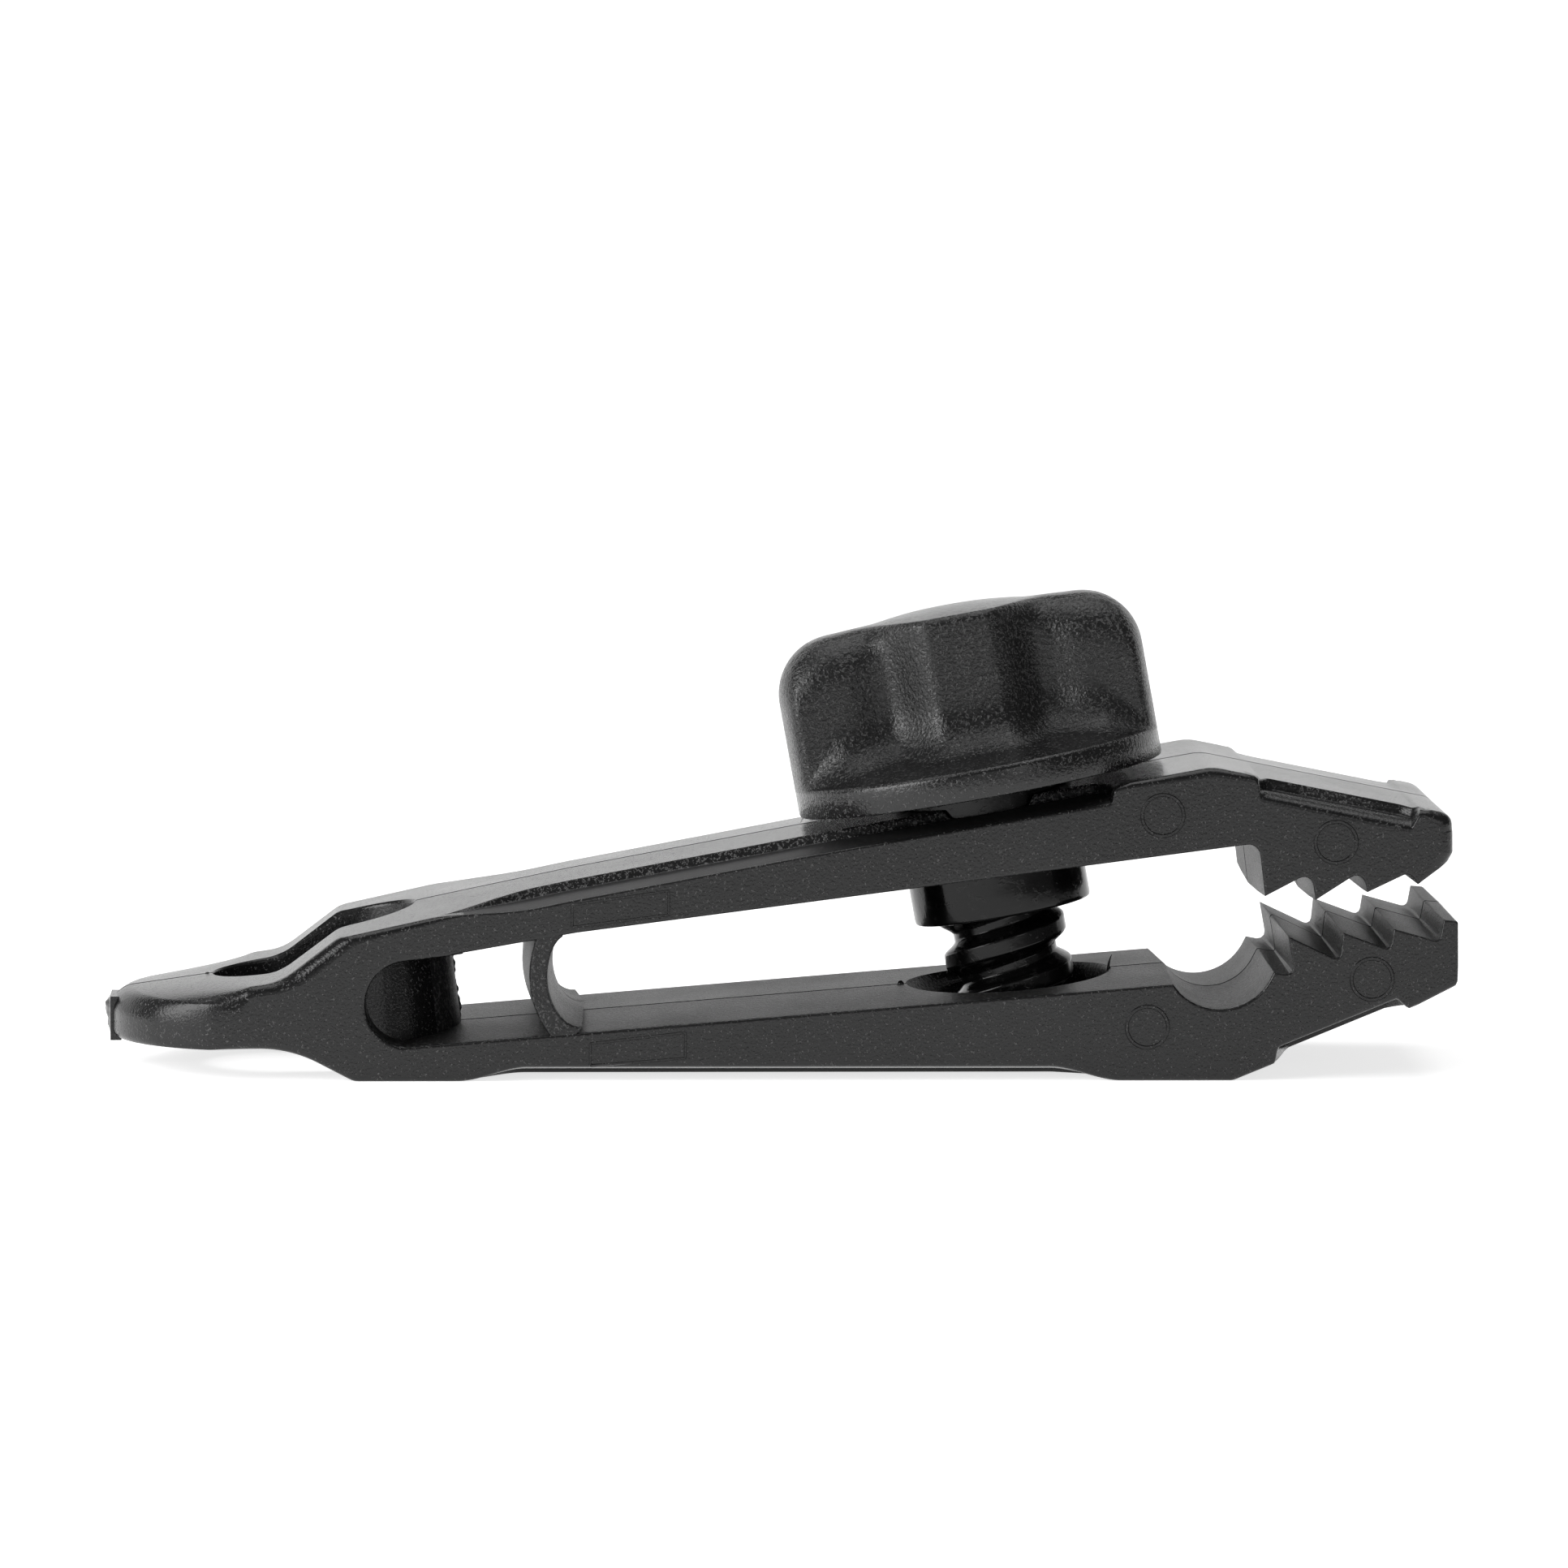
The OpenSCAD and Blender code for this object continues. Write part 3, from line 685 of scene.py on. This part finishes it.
def upper_inside(c, n):
    """1 for the upper arm's underside and teeth, 4 for the painted shade in the parting line's groove, and on its
    rebate's and pocket's sides 2 for the grained walls and 3 for the ledge."""
    nose, teeth_top, wall_end, ledge_end, pocket_middle, pocket_half = 54.0, 19.2, 26.0, 26.6, 44.7, 3
    x, side, z = c[:, 0], np.abs(c[:, 1]), c[:, 2]
    sideways, upward = np.abs(n[:, 1]), n[:, 2]
    under = (sideways < 0.6) & (upward < 0.25) & (x < nose) & (z < teeth_top)
    steep = (sideways > 0.18) & (upward > 0.22) & (side < 11.4)
    grained = steep & ~under & ((x < wall_end) | (np.abs(x - pocket_middle) < pocket_half))
    foot = HALF_W + 0.25 - sunk_edge(x, UPPER_REBATE)[0]
    ledge = (upward > 0.7) & (side > foot) & (side < 11.7) & (x < ledge_end) & ~grained
    return np.where(in_seam(c, n), 4, under + 2 * grained + 3 * ledge)


refinish(clip_body, lower_inside, INNER, SEAM_SHADE)
refinish(jaw_arm, upper_inside, INNER, WALL, LEDGE, SEAM_SHADE)

# The springy leaf: its arc, half of its thickness on each side, how it thins from row to row across (y, thinner
# by), and how much fuller it is in the middle plane
LEAF_X, LEAF_Z, LEAF_R = -12.7, 8.6, 7.05
LEAF_START, LEAF_TURN = 148, 82
LEAF_IN, LEAF_OUT = 0.85, 0.8
LEAF_ROWS = (
    (0, 0.07), (GROOVE_HALF, 0), (3, 0.02), (6, 0.04), (9, 0.07), (11.5, 0.1), (11.75, 0.12), (11.9, 0.2),
    (11.95, 0.3), (11.95, 0.35),
)
LEAF_FULL_IN, LEAF_FULL_OUT = 0.6, 0.25


def web_solid():
    """The springy leaf: a round arc that flares into both arms, carried across."""
    t = np.linspace(0, 1, 33)
    angle = np.radians(LEAF_START + LEAF_TURN * t)
    flare = np.exp(-t * 14) + np.exp(-(1 - t) * 14)
    inner = LEAF_R - LEAF_IN - 0.3 * flare - 0.6 * np.exp(-(1 - t) * 7)
    outer = LEAF_R + LEAF_OUT + 0.4 * flare
    bearing = np.concatenate([angle, angle[::-1]])
    rows = []
    for y, slim in LEAF_ROWS:
        full = 1 - y / HALF_W
        radius = np.concatenate([outer + LEAF_FULL_OUT * full - slim, (inner - LEAF_FULL_IN * full + slim)[::-1]])
        x, z = LEAF_X + radius * np.cos(bearing), LEAF_Z + radius * np.sin(bearing)
        rows.append(np.stack([x, np.full(len(bearing), y), z], 1))
    return tube("flex_leaf", mirrored(np.array(rows)), INNER)


flex_leaf = web_solid()


# The clamp screw


def wave_half(u):
    """Half of the grip's thickness at u along the wings: eased from the hub down to a valley and up to a wing."""
    s = np.abs(u)
    hub = HUB_HALF + (VALLEY_HALF - HUB_HALF) * smooth((s - HUB_FLAT) / (VALLEY_U - HUB_FLAT))
    wing = VALLEY_HALF + (WING_HALF - VALLEY_HALF) * smooth((s - VALLEY_U) / WING_RUN)
    return np.where(s < VALLEY_U, hub, wing)


def softer_of(first, second, blend):
    """The lesser of two values, with the corner where they cross rounded over a width of blend."""
    return np.minimum(first, second) - np.clip(blend - np.abs(first - second), 0, None) ** 2 / (4 * blend)


def knob_top(u):
    """Height of the knob's top: nearly level, and turned down by a quarter circle at the wing ends."""
    past_end = np.clip(np.abs(u) - (SKIRT_R - WING_R), 0, WING_R)
    turned = KNOB_H - WING_R + np.sqrt(WING_R ** 2 - past_end ** 2)
    return turned + HUB_SWELL * smooth((11 - np.abs(u)) / 4)


def knob_solid():
    """The wing grip on its skirt.

    A loop round the plan is carried up. Its plan is the lesser of the skirt's circle and the wave of the wings, so
    the wing ends lie flush with the skirt. From the rim a shallow cone leads to a hollow quarter round at the wall's
    foot, then come the wall, a rounded top edge, and the top faces, which swell over the hub and meet over the
    middle.
    """
    columns = 320
    a = np.linspace(0, 2 * math.pi, columns, endpoint=False) + math.pi / columns
    circle = np.stack([np.cos(a), np.sin(a)], 1)
    u, side = SKIRT_R * np.cos(a), np.sign(np.sin(a))
    rim_w = SKIRT_R * np.abs(np.sin(a))
    wall_w = softer_of(rim_w, wave_half(u), 1.7)
    room = rim_w - wall_w
    rim = np.minimum(RIM_ROUND, 0.5 * room)
    hollow = np.minimum(HOLLOW_R, 0.7 * room)
    top = knob_top(u)
    edge = np.minimum(0.8 + 3.4 * smooth((np.abs(u) - 4.5) / 4), 0.9 * wall_w)
    rows = []

    def level(w, height):
        rows.append(np.stack([u, side * w, np.broadcast_to(height, (columns,))], 1))

    rim_low = ((1.5, 0), (0.3, 0), (0.09, 0.09), (0, 0.3), (0, SKIRT_H - RIM_ROUND))
    for r, h in ((SKIRT_R - inset, h) for inset, h in rim_low):
        rows.append(np.column_stack([circle * r, np.full(columns, h)]))
    for angle in np.radians([30, 60, 85]):
        level(rim_w - rim * (1 - math.cos(angle)), SKIRT_H - RIM_ROUND + RIM_ROUND * math.sin(angle))
    for share in (0, 0.35, 0.7):
        away = hollow + (room - rim - hollow) * (1 - share)
        level(wall_w + away, SKIRT_H + SKIRT_SLOPE * (room - rim - away))
    foot = SKIRT_H + SKIRT_SLOPE * (room - rim - hollow)
    for angle in np.radians(np.linspace(0, 90, 13)):
        sine, cosine = math.sin(angle), math.cos(angle)
        level(wall_w + hollow * (1 - sine), foot + hollow * (1 - cosine) + SKIRT_SLOPE * hollow * sine)
    foot = foot + hollow * (1 + SKIRT_SLOPE)
    for share in (0.2, 0.4, 0.6, 0.8, 1):
        level(wall_w * (1 - WALL_DRAFT * share), foot + (top - edge - foot) * share)
    wall_w = wall_w * (1 - WALL_DRAFT)
    for angle in np.radians([15, 30, 45, 60, 75, 90]):
        level(wall_w - edge * (1 - math.cos(angle)), top - edge + edge * math.sin(angle))
    crown = HUB_CROWN * np.clip(1 - (u / VALLEY_U) ** 2, 0, 1)
    for share in (0.85, 0.65, 0.45, 0.25, 0.08):
        level((wall_w - edge) * share, top + crown * (1 - share * share))
    rows = np.array(rows)
    n_rows = len(rows)
    faces = [face[::-1] for face in grid_faces(n_rows, columns)]
    faces.append(list(reversed(range(columns))))
    last = (n_rows - 1) * columns
    k = np.arange(columns // 2 - 1)
    bridge = np.stack([last + k, last + k + 1, last + columns - 2 - k, last + columns - 1 - k], 1)
    faces += bridge.tolist()
    points = rows + np.array([0, 0, SKIRT_LIFT])
    return new_piece("wing_grip", leaned(points).reshape(-1, 3), faces, KNOB)


def shank_solid():
    """The smooth shoulder, with a small round at its lower edge."""
    low_edge = ((0.5, 0), (0.35, 0), (0.15, 0.06), (0.04, 0.18), (0, 0.4), (0, 2), (0, 5))
    profile = [(SHANK_R - inset, SHANK_LOW + h) for inset, h in low_edge] + [(SHANK_R, 0.4)]
    return tube("shoulder", leaned(revolved(profile, 128))[:, ::-1], SCREW)


def thread_solid():
    """The thread as a radius over the angle and the height.

    A rounded ridge climbs one pitch a turn, and is eased out at the tip, which is drawn in a little.
    """
    columns = 120
    a = np.linspace(0, 2 * math.pi, columns, endpoint=False)
    h = np.linspace(THREAD_LOW, SHANK_LOW + 0.2, 150)[:, None]
    share = np.abs((a[None, :] / (2 * math.pi) - (h + THREAD_PHASE) / THREAD_PITCH + 0.5) % 1 - 0.5)
    ridge = smooth((0.43 - share) / 0.29)
    fade = smooth((h - THREAD_LOW) / 1.2)
    tip = 0.45 * (1 - smooth((h - THREAD_LOW) / 0.5))
    r = THREAD_R - THREAD_DEPTH * (1 - ridge * fade) - tip
    points = np.stack([r * np.cos(a) + THREAD_OFF, r * np.sin(a), np.repeat(h, columns, 1)], -1)
    return tube("screw_ridge", leaned(points)[:, ::-1], SCREW)


def on_skirt(c, n):
    """The skirt's rim and underside, below its top edge as measured up the leaned axis, and the level top."""
    height = (c[:, 2] - SEAT[1]) * math.cos(TILT) - (c[:, 0] - SEAT[0]) * math.sin(TILT)
    top = (n[:, 2] * math.cos(TILT) - n[:, 0] * math.sin(TILT)) > 0.93
    return top | (height + c[:, 1] * math.sin(LEAN) < SKIRT_LIFT + SKIRT_H - 0.25)


wing_grip = knob_solid()
refinish(wing_grip, on_skirt, SKIRT)
shoulder = shank_solid()
screw_ridge = thread_solid()


# Small marks of the moulding

# Ridges on the side face: how deep they are sunk, then half of the width and the height of each kind
RIDGE_SUNK = 0.06
PIN_R = 1.68
PIN_RIDGE = (0.19, 0.12)
FRAME_RIDGE = (0.14, 0.06)

# Flash: half of its foot's width, and how deep it is rooted
FLASH_HALF = 0.09
FLASH_ROOT = 0.15

# The broken-off gate: its lower and upper ends, half of its width, its root, the eye's tip, and its furthest point
GATE_LOW, GATE_HIGH = 2.1, 5.7
GATE_HALF = 2.2
GATE_ROOT, GATE_TIP, GATE_MOST = -53.6, -54.5, -54.98
GATE_STAND = 0.36
GATE_ROUGH = 0.07


def ridge_rows(path, half, height):
    """A low ridge on the near side face along a path in X and Z, with a flat-topped section."""
    along = np.gradient(path, axis=0)
    along /= np.linalg.norm(along, axis=1)[:, None]
    across = np.stack([along[:, 1], -along[:, 0]], 1)
    section = np.array([(-half, -RIDGE_SUNK), (-0.5 * half, height), (0.5 * half, height), (half, -RIDGE_SUNK)])
    xz = path[:, None] + across[:, None] * section[None, :, :1]
    y = np.broadcast_to(-(HALF_W + section[:, 1]), (len(path), 4))
    return np.stack([xz[..., 0], y, xz[..., 1]], -1)


def closed_ridge(name, path, ridge):
    """A ridge along a path whose last point is its first."""
    rows = ridge_rows(path, *ridge)[:-1]
    return new_piece(name, rows.reshape(-1, 3), grid_faces(len(rows), 4, wrap_rows=True), BODY)


def pin_ring(name, x, z):
    """The ring that an ejector pin leaves: a circle of ridge."""
    a = np.linspace(0, 2 * math.pi, 73)
    return closed_ridge(name, np.stack([x + PIN_R * np.cos(a), z + PIN_R * np.sin(a)], 1), PIN_RIDGE)


def insert_frame(name, corners):
    """The outline that a mould insert leaves: a ridge round four corners, points evenly along each side."""
    corners = np.array(corners, float)
    share = np.linspace(0, 1, 40, endpoint=False)[None, :, None]
    path = (corners[:, None] + (np.roll(corners, -1, 0) - corners)[:, None] * share).reshape(-1, 2)
    return closed_ridge(name, np.concatenate([path, path[:1]]), FRAME_RIDGE)


def flash_fin(name, foot, out, across, height, material):
    """Ragged flash: a thin wedge along a path of feet, its edge standing out by a height given for each point."""
    foot, out, across = (np.asarray(value, float) for value in (foot, out, across))
    root = foot - out * FLASH_ROOT
    sides = [root - across * FLASH_HALF, foot + out * height[:, None], root + across * FLASH_HALF]
    return tube(name, np.stack(sides, 1), material)


def ragged(t, low, high):
    """A height between two values that wanders as three sines do."""
    wave = np.sin(9.1 * t + 0.4) + 0.8 * np.sin(23.7 * t + 1.9) + 0.6 * np.sin(51.3 * t)
    return low + (high - low) * smooth(0.5 + 0.28 * wave)


def nub(name, place, r):
    """A small round bead: a ball whose rows are circles of latitude."""
    tip = np.linspace(0.06, math.pi - 0.06, 9)
    rows = revolved(np.stack([r * np.sin(tip), r * np.cos(tip)], 1), 16)
    return tube(name, rows + np.array(place), BODY)


def gate_stub():
    """The broken-off gate on the eye's tip: a block whose outer face swells out, with sines on the swell."""
    z = np.linspace(GATE_LOW, GATE_HIGH, 19)[None, :]
    y = np.linspace(-GATE_HALF, GATE_HALF, 17)[:, None]
    rough = GATE_ROUGH * (np.sin(3.1 * z + 1.3 * y) + 0.7 * np.sin(7.3 * z - 2.1 * y))
    upright = smooth((z - GATE_LOW) / 2.2) * smooth((GATE_HIGH - z) / 0.6)
    stand = upright * smooth((GATE_HALF - np.abs(y)) / 1.2)
    face = np.maximum(GATE_TIP - (GATE_STAND + rough) * stand, GATE_MOST)
    x = np.concatenate([face, np.full_like(face, GATE_ROOT)], 1)
    height = np.broadcast_to(np.concatenate([z, z[:, ::-1]], 1), x.shape)
    return tube("gate_stub", np.stack([x, np.repeat(y, x.shape[1], 1), height], -1), BODY)


def well_spike():
    """A hair of flash on the well's rim: a thin leaning cone."""
    x, low, tall, r, lean = 27.45, 7.5, 1.35, 0.16, 0.3
    t = np.linspace(0, 1, 7)
    rows = revolved(np.stack([r * (1 - 0.8 * t), low + tall * t], 1), 10)
    rows[..., 0] += x + lean * t[:, None] ** 2
    return tube("well_spike", rows, BODY)


def wing_fin():
    """Flash up the end of the right wing."""
    h = np.linspace(3.2, 10.6, 90)
    foot = np.stack([np.full(len(h), SKIRT_R - 0.12), 0 * h, h], 1)
    out = (math.cos(TILT), 0, math.sin(TILT))
    return flash_fin("wing_flash", leaned(foot), out, (0, 1, 0), ragged(h / 7, 0.02, 0.11), KNOB)


def rim_fin():
    """Flash under the near half of the skirt's rim, with a long thread and a ragged stretch at the left."""
    a = np.linspace(-math.pi, 0, 400)
    r, height = SKIRT_R - 0.2, SKIRT_LIFT + 0.14
    foot = np.stack([r * np.cos(a), r * np.sin(a), np.full(len(a), height)], 1)
    out = np.stack([0.8 * np.cos(a) ** 3, 0 * a, np.full(len(a), -1.0)], 1)
    side = np.stack([np.cos(a), np.sin(a), 0 * a], 1)
    stand = ragged(6 * a, -0.08, 0.12) + 0.45 * np.exp(-((a + 3.06) / 0.025) ** 2)
    stand += ragged(19 * a, 0, 0.3) * np.exp(-((a + 2.65) / 0.2) ** 2)
    seat = on_screw(np.zeros(3))
    return flash_fin("rim_flash", leaned(foot), on_screw(out) - seat, on_screw(side) - seat, stand, SKIRT)


def wall_fin():
    """Flash up the round wall behind the rope hole, on its slope."""
    mid_r, mid_z, slope = 8.68, 6.3, 0.131
    z = np.linspace(3.6, 9.6, 70)
    foot = np.stack([BOSS_X + mid_r - slope * (z - mid_z), 0 * z, z], 1)
    return flash_fin("wall_flash", foot, (1, 0, 0), (0, 1, 0), ragged(z / 6, 0.02, 0.22), BODY)


marks_low = [
    pin_ring("lower_pin_ring_1", 29.7, 4.41), pin_ring("lower_pin_ring_2", 47.97, 8.32),
    insert_frame("lower_insert_frame", [(-15.5, 1.3), (-7.8, 1.9), (-7.8, 4.0), (-15.5, 3.1)]),
    gate_stub(), well_spike(), nub("well_bead", (10.35, 0, 6.42), 0.3), nub("hole_bead", (-46.6, 0, 7.2), 0.26),
]
marks_high = [
    pin_ring("upper_pin_ring_1", 30.8, 21.68), pin_ring("upper_pin_ring_2", 44.9, 19.5),
    insert_frame("upper_insert_frame", [(-17.0, 12.6), (-9.2, 13.6), (-9.2, 15.55), (-17.0, 14.4)]),
]
wing_flash = wing_fin()
rim_flash = rim_fin()
wall_flash = wall_fin()
marks_low.append(wall_flash)


# What each piece rides on

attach(clip_body, "clip_base")
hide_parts("rope_eye", "lower_arm")
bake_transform(jaw_arm)
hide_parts("upper_arm")
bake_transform(flex_leaf)
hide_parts("flex_web")
for piece in marks_low:
    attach(piece, "clip_base")
for piece in marks_high:
    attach(piece, "upper_jaw")
for piece in (wing_flash, rim_flash):
    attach(piece, "clamp_screw")
screw_pieces = (
    (wing_grip, "wing_knob", "knob_nylon"),
    (shoulder, "screw_shank", "screw_nylon"),
    (screw_ridge, "screw_thread", "screw_nylon"),
)
for piece, node, slot in screw_pieces:
    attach(piece, "clamp_screw")
    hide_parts(node)


# The studio

# The sweep in millimetres: half of its width and its front, where it starts to curve up, that curve, and its top
SWEEP_HALF = 2500.0
SWEEP_BACK = 900.0
SWEEP_R = 300
SWEEP_TOP = 800.0
STAGE_WHITE = (0.86, 0.86, 0.86, 1)
STAGE_LIFT = 0.72

# The air's strength as a lamp, and as the camera sees it
AIR_LAMP = 0.16
AIR_SEEN = 1.0

# The point that the lamps are aimed at, in metres
LAMP_AIM = (0, 0, 0.02)


def white_stage_material():
    """White for the floor and backdrop: lit as matt white, and lifted a little for camera and mirror rays."""
    material = bpy.data.materials.new("studio_white")
    material.use_nodes = True
    tree = material.node_tree
    tree.nodes.clear()
    link = tree.links.new
    out = add_node(tree, "ShaderNodeOutputMaterial", (400, 0))
    matt = add_node(tree, "ShaderNodeBsdfDiffuse", (0, 100), in_Color=STAGE_WHITE)
    glow = add_node(tree, "ShaderNodeEmission", (0, -100))
    rays = add_node(tree, "ShaderNodeLightPath", (-500, 0))
    seen = add_math(tree, "MAXIMUM", (-300, -100), rays.outputs["Is Camera Ray"], rays.outputs["Is Glossy Ray"])
    link(add_math(tree, "MULTIPLY", (-150, -100), seen, STAGE_LIFT), glow.inputs["Strength"])
    both = add_node(tree, "ShaderNodeAddShader", (200, 0))
    link(matt.outputs[0], both.inputs[0])
    link(glow.outputs[0], both.inputs[1])
    link(both.outputs[0], out.inputs["Surface"])
    return material


def sweep_floor():
    """A studio sweep: a flat floor that curves up behind into a wall."""
    across = np.linspace(-SWEEP_HALF, SWEEP_HALF, 3)
    profile = [(-SWEEP_HALF, 0.0), (SWEEP_BACK, 0.0)]
    for a in np.radians(np.linspace(0, 90, 13))[1:]:
        profile.append((SWEEP_BACK + SWEEP_R * math.sin(a), SWEEP_R - SWEEP_R * math.cos(a)))
    profile.append((SWEEP_BACK + SWEEP_R, SWEEP_TOP))
    points = [[(x, y, z) for x in across] for y, z in profile]
    faces = [face[::-1] for face in grid_faces(len(profile), len(across), wrap_columns=False)]
    return new_piece("studio_sweep", np.array(points).reshape(-1, 3), faces, white_stage_material())


sweep_floor()


def soft_box(name, place, size, radiance):
    """A square lamp aimed at the clip, its power set from the radiance that it shows."""
    lamp = bpy.data.lights.new(name, "AREA")
    lamp.shape = "SQUARE"
    lamp.size = size
    lamp.energy = radiance * math.pi * size * size
    box = bpy.data.objects.new(name, lamp)
    bpy.context.scene.collection.objects.link(box)
    box.location = place
    box.rotation_euler = (Vector(LAMP_AIM) - Vector(place)).to_track_quat("-Z", "Y").to_euler()


# Each lamp: its place in metres, its size and its radiance
soft_box("left_soft_box", (-0.55, -0.25, 0.26), 0.46, 5.5)
soft_box("right_soft_box", (0.34, -0.76, 0.26), 0.3, 1.4)
soft_box("top_soft_box", (0.0, 0.15, 0.9), 0.8, 1.6)
soft_box("front_soft_box", (-0.1, -1.0, 0.25), 0.4, 0.5)

world = bpy.data.worlds.new("studio_air")
bpy.context.scene.world = world
world.use_nodes = True
air = world.node_tree
air_back = air.nodes["Background"]
air_back.inputs["Color"].default_value = (1, 1, 1, 1)
air_rays = add_node(air, "ShaderNodeLightPath", (-600, 0))
air_level = add_node(air, "ShaderNodeMapRange", (-300, 0), in_To_Min=AIR_LAMP, in_To_Max=AIR_SEEN)
air.links.new(air_rays.outputs["Is Camera Ray"], air_level.inputs["Value"])
air.links.new(air_level.outputs["Result"], air_back.inputs["Strength"])

# The photograph's view: a long lens, a little above the clip
FOCAL_PX = 11322.5
FRAME_PX = 1932.0
SENSOR = 36.0
CAMERA_AT = (-0.03502, -0.74915, 0.10317)
CAMERA_PAN = math.radians(-2.726)
CAMERA_PITCH = math.radians(90 - 6.1045)
CAMERA_ROLL = math.radians(0.3087)
camera_data = bpy.data.cameras.new("view_camera")
camera_data.sensor_width = SENSOR
camera_data.lens = SENSOR * FOCAL_PX / FRAME_PX
camera_data.clip_start, camera_data.clip_end = 0.01, 20
camera = bpy.data.objects.new("view_camera", camera_data)
bpy.context.scene.collection.objects.link(camera)
camera.location = CAMERA_AT
look = Matrix.Rotation(CAMERA_PAN, 3, "Z") @ Matrix.Rotation(CAMERA_PITCH, 3, "X")
camera.rotation_euler = (look @ Matrix.Rotation(CAMERA_ROLL, 3, "Z")).to_euler()
bpy.context.scene.camera = camera

bpy.context.scene.view_settings.view_transform = "Standard"
